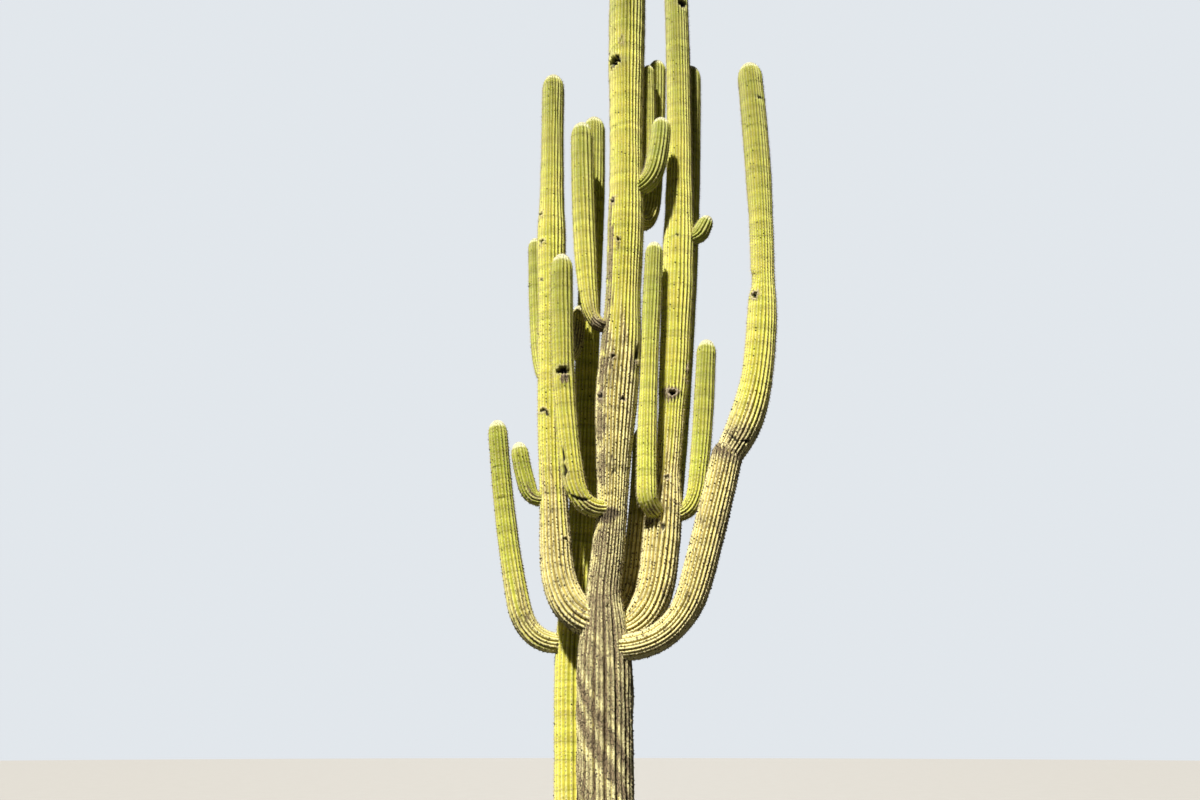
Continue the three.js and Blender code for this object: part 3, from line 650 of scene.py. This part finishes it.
def mesh_object(name, corners, face_sets, material, values=None, smooth=True):
    """A mesh object at the origin, from its corners and sets of faces with equal corner counts."""
    mesh = bpy.data.meshes.new(name)
    mesh.vertices.add(len(corners))
    mesh.vertices.foreach_set("co", np.asarray(corners, dtype=np.float32).ravel())
    sizes = np.concatenate([np.full(len(faces), faces.shape[1]) for faces in face_sets])
    loops = np.concatenate([faces.ravel() for faces in face_sets])
    mesh.loops.add(len(loops))
    mesh.loops.foreach_set("vertex_index", loops.astype(np.int32))
    mesh.polygons.add(len(sizes))
    mesh.polygons.foreach_set("loop_start", np.concatenate([[0], np.cumsum(sizes)[:-1]]).astype(np.int32))
    mesh.polygons.foreach_set("use_smooth", np.full(len(sizes), smooth))
    for value_name, numbers in (values or {}).items():
        attribute = mesh.attributes.new(value_name, "FLOAT", "POINT")
        attribute.data.foreach_set("value", np.asarray(numbers, dtype=np.float32))
    mesh.update(calc_edges=True)
    mesh.materials.append(material)
    made = bpy.data.objects.new(name, mesh)
    bpy.context.collection.objects.link(made)
    return made


# Nodes

def feed(tree, node, inputs):
    """Sets a node's inputs, each to a value or from the socket that feeds it."""
    for key, value in inputs.items():
        if isinstance(value, bpy.types.NodeSocket):
            tree.links.new(value, node.inputs[key])
        else:
            node.inputs[key].default_value = value


def add(tree, kind, inputs=None, **settings):
    """A shader node with its settings and inputs."""
    made = tree.nodes.new("ShaderNode" + kind)
    for name, value in settings.items():
        setattr(made, name, value)
    feed(tree, made, inputs or {})
    return made


def calc(tree, operation, *values, clamp=False):
    """The result of one sum on numbers or sockets."""
    return add(tree, "Math", dict(enumerate(values)), operation=operation, use_clamp=clamp).outputs[0]


def mixed(tree, factor, first, second, blend="MIX"):
    """Two colours mixed by a factor."""
    inputs = {0: factor, 6: first, 7: second}
    return add(tree, "Mix", inputs, data_type="RGBA", blend_type=blend).outputs[2]


def stepped(tree, value, low, high, start=0.0, end=1.0):
    """A number carried smoothly from the range low to high to the range start to end."""
    inputs = {0: value, 1: low, 2: high, 3: start, 4: end}
    return add(tree, "MapRange", inputs, interpolation_type="SMOOTHSTEP").outputs[0]


def swayed(tree, value, strength, start):
    """A start value, moved up or down by how far a value lies from its middle of 0.5."""
    return calc(tree, "MULTIPLY_ADD", calc(tree, "SUBTRACT", value, 0.5), strength, start)


def noise(tree, vector, scale, detail=3.0, roughness=0.55):
    """A noise value at a scale."""
    inputs = {"Vector": vector, "Scale": scale, "Detail": detail, "Roughness": roughness}
    return add(tree, "TexNoise", inputs).outputs[0]


def noise_along(tree, place, scale, detail):
    """A noise value that changes along one direction only."""
    inputs = {"W": place, "Scale": scale, "Detail": detail}
    return add(tree, "TexNoise", inputs, noise_dimensions="1D").outputs[0]


def tones(tree, factor, stops):
    """A colour ramp through (place, colour) stops."""
    made = add(tree, "ValToRGB", {0: factor})
    elements = made.color_ramp.elements
    while len(elements) < len(stops):
        elements.new(0.5)
    for element, (place, colour) in zip(elements, stops):
        element.position = place
        element.color = (*colour, 1)
    return made.outputs[0]


def mask_named(tree, name):
    """A number that the mesh carries."""
    return add(tree, "Attribute", attribute_name=name, attribute_type="GEOMETRY").outputs["Fac"]


def new_group(name, inputs, outputs):
    """An empty shared node group. Inputs are (name, kind, start value) and outputs (name, kind)."""
    tree = bpy.data.node_groups.new(name, "ShaderNodeTree")
    for socket_name, kind, start in inputs:
        socket = tree.interface.new_socket(
            name=socket_name, in_out="INPUT", socket_type="NodeSocket" + kind)
        if start is not None:
            socket.default_value = start
    for socket_name, kind in outputs:
        tree.interface.new_socket(name=socket_name, in_out="OUTPUT", socket_type="NodeSocket" + kind)
    return tree, tree.nodes.new("NodeGroupInput").outputs, tree.nodes.new("NodeGroupOutput").inputs


def use_group(tree, group, inputs):
    """A shared group placed in a material, with its own values."""
    made = tree.nodes.new("ShaderNodeGroup")
    made.node_tree = group
    feed(tree, made, inputs)
    return made.outputs


def growth_bands_group():
    """Bands of slower and faster growth across a stem, wavy along the ribs."""
    tree, given, result = new_group(
        "growth bands",
        [("Length", "Float", 0.0), ("Vector", "Vector", None), ("Spacing", "Float", 0.1),
         ("Strength", "Float", 0.2)],
        [("Shade", "Float"), ("Height", "Float")],
    )
    wavy = calc(tree, "MULTIPLY", noise(tree, given["Vector"], 5.0, 2.0), 0.07)
    place = calc(tree, "DIVIDE", calc(tree, "ADD", given["Length"], wavy), given["Spacing"])
    wide = stepped(tree, noise_along(tree, place, 1.0, 2.0), 0.3, 0.7)
    lines = stepped(tree, noise_along(tree, place, 2.7, 1.0), 0.6, 0.7)
    both = calc(tree, "SUBTRACT", wide, calc(tree, "MULTIPLY", lines, 0.5))
    tree.links.new(swayed(tree, both, given["Strength"], 1.0), result["Shade"])
    tree.links.new(both, result["Height"])
    return tree


def mottle_group():
    """Soft uneven tone with small freckles."""
    tree, given, result = new_group(
        "skin mottle",
        [("Vector", "Vector", None), ("Scale", "Float", 6.0), ("Strength", "Float", 0.2)],
        [("Shade", "Float"), ("Tint", "Float")],
    )
    broad = noise(tree, given["Vector"], given["Scale"], 4.0, 0.6)
    fine = noise(tree, given["Vector"], calc(tree, "MULTIPLY", given["Scale"], 9.0), 2.0)
    both = swayed(tree, fine, 0.6, broad)
    tree.links.new(swayed(tree, both, given["Strength"], 1.0), result["Shade"])
    tree.links.new(stepped(tree, broad, 0.35, 0.65), result["Tint"])
    return tree


def corky_group():
    """Dry corky bark: plates and pits between cracks that run mostly along the stem."""
    tree, given, result = new_group(
        "corky bark",
        [("Vector", "Vector", None), ("Scale", "Float", 30.0)],
        [("Tint", "Float"), ("Crack", "Float"), ("Height", "Float")],
    )
    stretch = add(tree, "VectorMath", {0: given["Vector"], 1: (1, 1, 0.45)},
                  operation="MULTIPLY").outputs[0]
    twist = add(tree, "TexNoise", {"Vector": stretch, "Scale": 14.0, "Detail": 3.0}).outputs[1]
    moved = add(tree, "VectorMath", {0: twist, 1: (0.05, 0.05, 0.05), 2: stretch},
                operation="MULTIPLY_ADD").outputs[0]
    plates = add(tree, "TexVoronoi", {"Vector": moved, "Scale": given["Scale"]},
                 feature="DISTANCE_TO_EDGE").outputs["Distance"]
    crack = stepped(tree, plates, 0.02, 0.12, 1.0, 0.0)
    grain = noise(tree, given["Vector"], calc(tree, "MULTIPLY", given["Scale"], 2.5), 5.0, 0.7)
    tree.links.new(stepped(tree, grain, 0.3, 0.7), result["Tint"])
    tree.links.new(crack, result["Crack"])
    tree.links.new(calc(tree, "SUBTRACT", grain, calc(tree, "MULTIPLY", crack, 0.8)), result["Height"])
    return tree


def old_spots_group():
    """Dark pits where old areoles have dropped out, near the crests."""
    tree, given, result = new_group(
        "old areole pits",
        [("Vector", "Vector", None), ("Scale", "Float", 14.0), ("Size", "Float", 0.2),
         ("Share", "Float", 0.5)],
        [("Pit", "Float")],
    )
    cells = add(tree, "TexVoronoi", {"Vector": given["Vector"], "Scale": given["Scale"]})
    pick = add(tree, "SeparateColor", {0: cells.outputs["Color"]}).outputs[0]
    kept = calc(tree, "LESS_THAN", pick, given["Share"])
    half_size = calc(tree, "MULTIPLY", given["Size"], 0.5)
    spot = stepped(tree, cells.outputs["Distance"], half_size, given["Size"], 1.0, 0.0)
    tree.links.new(calc(tree, "MULTIPLY", kept, spot), result["Pit"])
    return tree


def build_groups():
    """The shared node groups, by the names that the skins use."""
    return dict(
        bands=growth_bands_group(), mottle=mottle_group(), corky=corky_group(), spots=old_spots_group(),
    )


# Materials

# Colours are linear.
# HOLLOW_SHADE is painted shade, near black, in holes, cracks and pits and in the cracks of cork.
HOLLOW_SHADE = (0.012, 0.008, 0.005, 1)
CALLUS_PALE = (0.47, 0.39, 0.28, 1)
CORK_DARK = (0.135, 0.09, 0.055, 1)
CORK_LIGHT = (0.39, 0.31, 0.175, 1)
PIT_BROWN = (0.075, 0.045, 0.025, 1)
CROWN_CREAM = (0.71, 0.7, 0.49, 1)
PATCH_TINT = (0.9, 0.97, 0.86, 1)
FRESH_TINT = (0.59, 0.63, 0.49, 1)

# Colours of furrow, flank and crest, on fresh flesh and on skin that has turned tan. The dark
# furrow colours are painted shade in the furrows.
SKIN_TONES = {
    "trunk_skin": dict(
        flesh=((0.29, 0.265, 0.025), (0.6, 0.55, 0.072), (0.79, 0.76, 0.22)),
        tan=((0.107, 0.062, 0.033), (0.65, 0.56, 0.17), (0.86, 0.81, 0.43)),
        roughness=0.62,
    ),
    "old_skin": dict(
        flesh=((0.29, 0.265, 0.025), (0.6, 0.55, 0.07), (0.79, 0.76, 0.22)),
        tan=((0.107, 0.062, 0.033), (0.61, 0.515, 0.15), (0.82, 0.76, 0.4)),
        roughness=0.6,
    ),
    "young_skin": dict(
        flesh=((0.23, 0.225, 0.02), (0.58, 0.555, 0.066), (0.8, 0.78, 0.22)),
        tan=((0.13, 0.082, 0.025), (0.525, 0.46, 0.123), (0.79, 0.74, 0.35)),
        roughness=0.55,
    ),
}

# Small dry things: a darker and a lighter tone, their roughness and how fine the fleck is.
SMALL_TONES = {
    "pale_areoles": dict(name="pale areole wool", low=(0.35, 0.27, 0.13), high=(0.52, 0.43, 0.25),
                         roughness=0.9, scale=60),
    "dark_areoles": dict(name="dark areole wool", low=(0.02, 0.013, 0.008), high=(0.07, 0.045, 0.025),
                         roughness=0.9, scale=60),
    "pale_spines": dict(name="pale spines", low=(0.5, 0.42, 0.23), high=(0.7, 0.62, 0.41),
                        roughness=0.5, scale=40),
    "dark_spines": dict(name="dark spines", low=(0.16, 0.11, 0.07), high=(0.38, 0.3, 0.2),
                        roughness=0.6, scale=40),
    "crown_wool": dict(name="crown wool", low=(0.76, 0.72, 0.5), high=(0.88, 0.86, 0.7),
                       roughness=0.95, scale=50),
}


def new_material(name):
    """A material with only its Principled shader and output."""
    material = bpy.data.materials.new(name)
    material.use_nodes = True
    tree = material.node_tree
    return material, tree, tree.nodes["Principled BSDF"]


def rib_tones(tree, crest, colours, furrow_share):
    """Furrow, flank and crest colours across a rib, with the duller line that joins the areoles. The dark
    furrow colour is painted shade.
    """
    furrow, flank, edge = colours
    stops = [(0, furrow), (furrow_share, flank), (0.5, flank), (0.7, edge), (0.92, edge), (1, flank)]
    return tones(tree, crest, stops)


def fresh_colour(tree, crest, mottle, flesh):
    """Fresh flesh, greener in soft patches and deeper green towards the tip."""
    fresh = rib_tones(tree, crest, flesh, 0.2)
    greener = mixed(tree, 1.0, fresh, PATCH_TINT, "MULTIPLY")
    fresh = mixed(tree, mottle["Tint"], fresh, greener)
    youngest = mixed(tree, 1.0, fresh, FRESH_TINT, "MULTIPLY")
    return mixed(tree, mask_named(tree, "fresh"), fresh, youngest)


def aged_colour(tree, place, crest, groups, tan):
    """Tan skin with the dark pits of lost areoles and dark splits."""
    aged = rib_tones(tree, crest, tan, 0.27)
    spots = use_group(tree, groups["spots"], {"Vector": place, "Scale": 30.0, "Size": 0.5, "Share": 0.27})
    aged = mixed(tree, calc(tree, "MULTIPLY", spots["Pit"], 0.85), aged, PIT_BROWN)
    splits = use_group(tree, groups["corky"], {"Vector": place, "Scale": 9.0})["Crack"]
    split_share = stepped(tree, noise(tree, place, 2.6, 2.0), 0.48, 0.62, 0.0, 0.65)
    return mixed(tree, calc(tree, "MULTIPLY", splits, split_share), aged, PIT_BROWN)


def cork_colour(tree, bark):
    """Grey-brown plates between cracks painted near black as shade."""
    plates = mixed(tree, bark["Tint"], CORK_DARK, CORK_LIGHT)
    return mixed(tree, calc(tree, "MULTIPLY", bark["Crack"], 0.85), plates, HOLLOW_SHADE)


def cork_cover(tree, crest, bark):
    """Where cork covers the skin: ragged at its edge, and first in the furrows."""
    edge = swayed(tree, bark["Tint"], 0.5, mask_named(tree, "cork"))
    edge = calc(tree, "MULTIPLY_ADD", calc(tree, "SUBTRACT", 0.4, crest), 0.6, edge)
    return stepped(tree, edge, 0.25, 0.75)


def skin_bump(tree, place, bands, bark, cork, age):
    """The fine relief of growth bands, pores and bark, as a normal."""
    pores = calc(tree, "MULTIPLY", noise(tree, place, 210.0, 2.0), 0.12)
    fine = calc(tree, "MULTIPLY_ADD", bands["Height"], 0.35, pores)
    bark_share = calc(tree, "MULTIPLY_ADD", cork, 1.0, calc(tree, "MULTIPLY", age, 0.25))
    height = calc(tree, "ADD", fine, calc(tree, "MULTIPLY", bark["Height"], bark_share))
    return add(tree, "Bump", {"Strength": 0.6, "Distance": 0.012, "Height": height}).outputs[0]


def skin_material(name, groups, flesh, tan, roughness):
    """Waxy ribbed skin that turns tan, and then to grey-brown cork, with age."""
    material, tree, surface = new_material(name)
    place = add(tree, "TexCoord").outputs["Object"]
    crest, length = mask_named(tree, "crest"), mask_named(tree, "length")
    bands = use_group(tree, groups["bands"],
                      {"Length": length, "Vector": place, "Spacing": 0.12, "Strength": 0.26})
    mottle = use_group(tree, groups["mottle"], {"Vector": place, "Scale": 5.0, "Strength": 0.22})
    bark = use_group(tree, groups["corky"], {"Vector": place, "Scale": 34.0})

    uneven = calc(tree, "MULTIPLY", calc(tree, "SUBTRACT", mottle["Shade"], 1.0), 2.2)
    age = stepped(tree, calc(tree, "ADD", mask_named(tree, "tan"), uneven), 0.2, 0.8)
    fresh, aged = fresh_colour(tree, crest, mottle, flesh), aged_colour(tree, place, crest, groups, tan)
    tone = mixed(tree, age, fresh, aged)
    shade = calc(tree, "MULTIPLY", bands["Shade"], mottle["Shade"])
    grey = add(tree, "CombineColor", {0: shade, 1: shade, 2: shade}).outputs[0]
    tone = mixed(tree, 1.0, tone, grey, "MULTIPLY")
    cork = cork_cover(tree, crest, bark)
    tone = mixed(tree, cork, tone, cork_colour(tree, bark))
    tone = mixed(tree, mask_named(tree, "callus"), tone, CALLUS_PALE)
    # Painted shade: the floors of sunk holes, cracks and pits turn near black.
    tone = mixed(tree, mask_named(tree, "hollow_shade"), tone, HOLLOW_SHADE)
    cream = stepped(tree, mask_named(tree, "crown"), 0.5, 0.97, 0.0, 0.75)
    tree.links.new(mixed(tree, cream, tone, CROWN_CREAM), surface.inputs["Base Color"])

    rough = calc(tree, "MULTIPLY_ADD", age, 0.16, roughness)
    rough = calc(tree, "MULTIPLY_ADD", cork, 0.12, rough, clamp=True)
    tree.links.new(rough, surface.inputs["Roughness"])
    surface.inputs["Specular IOR Level"].default_value = 0.35
    tree.links.new(skin_bump(tree, place, bands, bark, cork, age), surface.inputs["Normal"])
    return material


def small_material(name, low, high, roughness, scale):
    """The finish of small dry things, of one colour with a slight fleck."""
    material, tree, surface = new_material(name)
    place = add(tree, "TexCoord").outputs["Object"]
    fleck = stepped(tree, noise(tree, place, scale, 2.0), 0.35, 0.65)
    tree.links.new(mixed(tree, fleck, (*low, 1), (*high, 1)), surface.inputs["Base Color"])
    surface.inputs["Roughness"].default_value = roughness
    height = noise(tree, place, scale * 6, 2.0)
    bump = add(tree, "Bump", {"Strength": 0.3, "Distance": 0.002, "Height": height})
    tree.links.new(bump.outputs[0], surface.inputs["Normal"])
    return material


# Spines and wool

# Areoles sit this far apart on a crest, give or take AREOLE_WAVER, up to this share of the dome.
# None sits below LOWEST_AREOLE or in a hollow, and cork has fewer of them.
AREOLE_STEP = 0.042
AREOLE_WAVER = 0.003
AREOLE_TOP = 0.93
LOWEST_AREOLE = 0.075
HOLLOW_LIMIT = 0.2
CORK_LOSS = 0.5

# Half the width and height of an areole's cushion, and how far it stands out. Sizes vary over this
# range, and are smaller on a dome. Some areoles are dark and larger, many more on tan skin.
PAD_WIDE = 0.0066
PAD_TALL = 0.0105
PAD_DEPTH = 0.007
PAD_SIZES = (0.6, 1.35)
DOME_SMALLER = 0.35
DARK_LARGER = 1.4
DARK_SHARE = 0.07
DARK_ON_TAN = 0.5
PAD_FACES = np.array([(0, 1, 4), (1, 2, 4), (2, 3, 4), (3, 0, 4), (0, 3, 2), (0, 2, 1)])

# Spines point along these ways, outwards, up and sideways, give or take SPINE_SPREAD. Each areole
# has SPINES_EACH of them. They are shorter on a dome, and broken off on tan skin.
SPINE_WAYS = [
    (0.75, -0.65, 0.1), (0.45, 0.35, 0.85), (0.45, 0.3, -0.9), (0.4, -0.75, 0.55), (0.55, -0.5, -0.6),
    (0.95, 0.25, 0.05),
]
SPINES_EACH = 3
SPINE_SPREAD = 0.22
SPINE_LENGTH = 0.037
SPINE_LENGTHS = (0.6, 1.2)
SPINE_HALF = 0.0019
DOME_SHORTER = 0.4
TAN_SHORTER = 0.45
NEEDLE_FACES = np.array([(0, 1, 3), (1, 2, 3), (2, 0, 3), (0, 2, 1)])

# Tufts of wool on a dome of WOOL_RADIUS, and more on a wider one. They stand this long and wide,
# with their feet a little under the skin.
WOOL_COUNT = 1000
WOOL_RADIUS = 0.15
WOOL_LENGTHS = (0.007, 0.016)
WOOL_SPREAD = 0.45
WOOL_HALF = 0.003
WOOL_SINK = 0.002

# A point counts as inside another stem within INSIDE_MARGIN of its radius. Only every INSIDE_STEP
# points of its line are tried, and only points that lie within INSIDE_REACH of its line's box.
INSIDE_MARGIN = 0.97
INSIDE_STEP = 12
INSIDE_REACH = 0.4
BATCH = 4000

AREOLE_SEED = 1000
WOOL_SEED = 2000
PIECE_LIMIT = 195000


def unit(ways):
    """Directions at length 1."""
    return ways / np.linalg.norm(ways, axis=1, keepdims=True)


def areole_rows(stem, random):
    """Where areoles sit on a stem's crests: places and turns."""
    end = stem["length"] + stem["crown"] * AREOLE_TOP
    steps = np.arange(1, int(end / AREOLE_STEP))
    ribs = np.arange(stem["ribs"])
    step, rib = (grid.ravel() for grid in np.meshgrid(steps, ribs, indexing="ij"))
    place = (step - 0.5 * (rib % 2)) * AREOLE_STEP + random.normal(0, AREOLE_WAVER, len(step))
    turn = rib * (2 * np.pi / stem["ribs"])
    return place, turn + rib_wander(stem, place, turn)


def inside_other(stem, points, stems):
    """Which points lie inside another stem."""
    found = np.zeros(len(points), dtype=bool)
    for other in stems:
        if other is stem:
            continue
        centres, radii = other["points"][::INSIDE_STEP], other["radii"][::INSIDE_STEP]
        low, high = centres.min(axis=0) - INSIDE_REACH, centres.max(axis=0) + INSIDE_REACH
        near = np.nonzero(np.all((points > low) & (points < high), axis=1))[0]
        for start in range(0, len(near), BATCH):
            part = near[start:start + BATCH]
            away = np.linalg.norm(points[part][:, None, :] - centres[None, :, :], axis=2)
            found[part] |= np.any(away < radii * INSIDE_MARGIN, axis=1)
    return found


def pads(points, out, up, side, scale):
    """Small four-sided cushions on the skin, closed underneath."""
    wide, tall, depth = (size * scale[:, None] for size in (PAD_WIDE, PAD_TALL, PAD_DEPTH))
    base = points - out * depth * 0.6
    return np.stack([
        base - up * tall, base + side * wide, base + up * tall, base - side * wide,
        points + out * depth,
    ], axis=1)


def needles(points, ways, lengths, half):
    """Long thin three-sided spikes from points along directions."""
    helper = np.where(np.abs(ways[:, 2:3]) < 0.8, np.array([[0, 0, 1.0]]), np.array([[1.0, 0, 0]]))
    first = unit(np.cross(ways, helper))
    second = np.cross(ways, first)
    corners = [points + first * (half * math.cos(angle)) + second * (half * math.sin(angle))
               for angle in (0, 2.1, 4.2)]
    corners.append(points + ways * lengths[:, None])
    return np.stack(corners, axis=1)


def joined(corner_sets, shape):
    """Many copies of one small shape as one list of corners and faces."""
    count, size = corner_sets.shape[:2]
    faces = shape[None, :, :] + (np.arange(count) * size)[:, None, None]
    return corner_sets.reshape(-1, 3), faces.reshape(-1, shape.shape[1])


def grow_pieces(name, corner_sets, shape, material):
    """Small things of one kind, joined into pieces under the triangle limit."""
    per_piece = PIECE_LIMIT // len(shape)
    total = max(1, math.ceil(len(corner_sets) / per_piece))
    for number, part in enumerate(np.array_split(corner_sets, total), start=1):
        corners, faces = joined(part, shape)
        piece = mesh_object(f"{name}_{number}", corners, [faces], material, smooth=False)
        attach(piece, "root")


def stem_spines(points, out, up, side, shrink, first_way, random):
    """Spines that fan out from areoles, with the share shrink of their usual length."""
    fans = []
    for number in range(SPINES_EACH):
        lean = SPINE_WAYS[(number * 2 + first_way) % len(SPINE_WAYS)]
        way = random.normal(0, SPINE_SPREAD, (len(points), 3)) + lean
        ways = unit(out * way[:, :1] + up * way[:, 1:2] + side * way[:, 2:])
        lengths = SPINE_LENGTH * random.uniform(*SPINE_LENGTHS, len(points)) * shrink
        fans.append(needles(points, ways, lengths, SPINE_HALF))
    return fans


def grow_areoles(stems, materials):
    """Areole cushions and spines on every crest, pale on young skin and dark on old."""
    cushions = {"pale": [], "dark": []}
    spines = {"pale": [], "dark": []}
    for stem in stems:
        random = np.random.default_rng(AREOLE_SEED + stem["seed"])
        place, turn = areole_rows(stem, random)
        points, out, up, masks = skin_at(stem, place, turn, np.zeros(len(place)))
        keep = (masks["hollow_shade"] < HOLLOW_LIMIT) & (points[:, 2] > LOWEST_AREOLE)
        keep &= ~inside_other(stem, points, stems)
        keep &= random.random(len(place)) > CORK_LOSS * masks["cork"]
        place, turn, points, out, up = (values[keep] for values in (place, turn, points, out, up))
        tan, crown = masks["tan"][keep], masks["crown"][keep]
        side = unit(np.cross(up, out))
        up = np.cross(out, side)
        clumped = 0.5 + 0.5 * waves(place / 0.35 + turn * 2.3, 90 + stem["seed"])
        dark = random.random(len(place)) < DARK_SHARE + DARK_ON_TAN * tan * clumped
        size = random.uniform(*PAD_SIZES, len(place)) * (1 - DOME_SMALLER * crown)
        shrink = 1 - DOME_SHORTER * crown - TAN_SHORTER * tan
        for kind, chosen, larger, first_way in (("pale", ~dark, 1, 0), ("dark", dark, DARK_LARGER, 1)):
            there = [values[chosen] for values in (points, out, up, side)]
            cushions[kind].append(pads(*there, size[chosen] * larger))
            spines[kind] += stem_spines(*there, shrink[chosen], first_way, random)
    for kind in ("pale", "dark"):
        areoles, needle_sets = np.concatenate(cushions[kind]), np.concatenate(spines[kind])
        grow_pieces(f"{kind}_areoles", areoles, PAD_FACES, materials[f"{kind}_areoles"])
        grow_pieces(f"{kind}_spines", needle_sets, NEEDLE_FACES, materials[f"{kind}_spines"])


def grow_crowns(stems, material):
    """Pale wool and bristles that cover the growing tip of each stem."""
    tufts = []
    for stem in stems:
        if stem.get("jointed", False):
            continue
        random = np.random.default_rng(WOOL_SEED + stem["seed"])
        count = int(WOOL_COUNT * (stem["radii"][-1] / WOOL_RADIUS) ** 1.3)
        lift = random.uniform(0.45, 1, count) ** 0.5
        place = stem["length"] + stem["crown"] * np.minimum(lift, 0.998)
        turn = random.uniform(0, 2 * np.pi, count)
        points, out, _, _ = skin_at(stem, place, turn, np.full(count, 0.3))
        ways = unit(out + random.normal(0, WOOL_SPREAD, (count, 3)))
        lengths = random.uniform(*WOOL_LENGTHS, count)
        tufts.append(needles(points - out * WOOL_SINK, ways, lengths, WOOL_HALF))
    grow_pieces("crown_wool", np.concatenate(tufts), NEEDLE_FACES, material)


# Stage

FLOOR_RADIUS = 120
FLOOR_SIDES = 96
SUN_WAY = (0.253, 0.584, -0.771)
FILL_WAY = (0, -0.93, -0.36)

# The floor's two tones and the surround's colour, as the camera sees them and as they light the
# plant.
FLOOR_DARK = (0.4, 0.395, 0.385, 1)
FLOOR_LIGHT = (0.44, 0.435, 0.425, 1)
FLOOR_GLOW = (0.04, 0.04, 0.037, 1)
SURROUND_SEEN = (0.76, 0.8, 0.84, 1)
SURROUND_GLOW = (0.72, 0.84, 1, 1)
SURROUND_STRENGTH = 0.03


def make_floor():
    """A plain pale floor, which throws little light back."""
    angles = np.arange(FLOOR_SIDES) * 2 * np.pi / FLOOR_SIDES
    rim = np.column_stack([np.cos(angles), np.sin(angles), np.zeros(FLOOR_SIDES)]) * FLOOR_RADIUS
    material, tree, surface = new_material("pale floor")
    place = add(tree, "TexCoord").outputs["Object"]
    seen = mixed(tree, noise(tree, place, 1.5, 4.0), FLOOR_DARK, FLOOR_LIGHT)
    path = add(tree, "LightPath").outputs["Is Camera Ray"]
    tree.links.new(mixed(tree, path, FLOOR_GLOW, seen), surface.inputs["Base Color"])
    surface.inputs["Roughness"].default_value = 0.9
    floor = mesh_object("floor", rim, [np.arange(FLOOR_SIDES)[None, :]], material, smooth=False)


def add_sun(name, energy, way, spread, colour):
    """A far light that travels one way, with its spread in degrees."""
    sun = bpy.data.lights.new(name, "SUN")
    sun.energy = energy
    sun.angle = math.radians(spread)
    sun.color = colour
    made = bpy.data.objects.new(name, sun)
    made.rotation_euler = Vector(way).to_track_quat("-Z", "Y").to_euler()
    bpy.context.collection.objects.link(made)


def make_light():
    """A soft key from the front left, above, a dim fill on the back, and a pale surround."""
    add_sun("soft key", energy=7.4, way=SUN_WAY, spread=3, colour=(1, 0.955, 0.87))
    add_sun("back fill", energy=0.42, way=FILL_WAY, spread=20, colour=(0.86, 0.93, 1))
    world = bpy.data.worlds.new("pale surround")
    bpy.context.scene.world = world
    world.use_nodes = True
    tree = world.node_tree
    seen = tree.nodes["Background"]
    seen.inputs[0].default_value = SURROUND_SEEN
    lit = add(tree, "Background", {0: SURROUND_GLOW, 1: SURROUND_STRENGTH})
    path = add(tree, "LightPath").outputs["Is Camera Ray"]
    both = add(tree, "MixShader", {0: path, 1: lit.outputs[0], 2: seen.outputs[0]})
    tree.links.new(both.outputs[0], tree.nodes["World Output"].inputs[0])


def make_camera():
    """The photograph's view: low, near and tilted up."""
    lens = bpy.data.cameras.new("camera")
    lens.lens = CAMERA_LENS
    lens.sensor_width = SENSOR_WIDTH
    lens.clip_end = 1000
    camera = bpy.data.objects.new("camera", lens)
    camera.location = CAMERA_PLACE
    camera.rotation_euler = (math.radians(90 + CAMERA_PITCH), 0, 0)
    bpy.context.collection.objects.link(camera)
    bpy.context.scene.camera = camera
    bpy.context.scene.view_settings.view_transform = "Standard"


# The cactus

def replaced_nodes(stem):
    """The CAD nodes that a stem's skin stands for."""
    if stem in ARMS:
        return [f"{stem['name']}_elbow", f"{stem['name']}_column"]
    return [stem["name"]]


def build_cactus():
    """The skins of all the stems, and what grows on them."""
    groups = build_groups()
    skins = {name: skin_material(name, groups, **values) for name, values in SKIN_TONES.items()}
    small = {name: small_material(**values) for name, values in SMALL_TONES.items()}
    stems = STANDING + ARMS + BUDS
    for seed, stem in enumerate(stems, start=1):
        finish_line(stem, seed)
        place_marks(stem)
    for stem in stems:
        piece = skin_mesh(stem, skins[stem["skin"]])
        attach(piece, "root")
        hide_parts(*replaced_nodes(stem))
    grow_areoles(stems, small)
    grow_crowns(stems, small["crown_wool"])


make_camera()
build_cactus()
make_floor()
make_light()
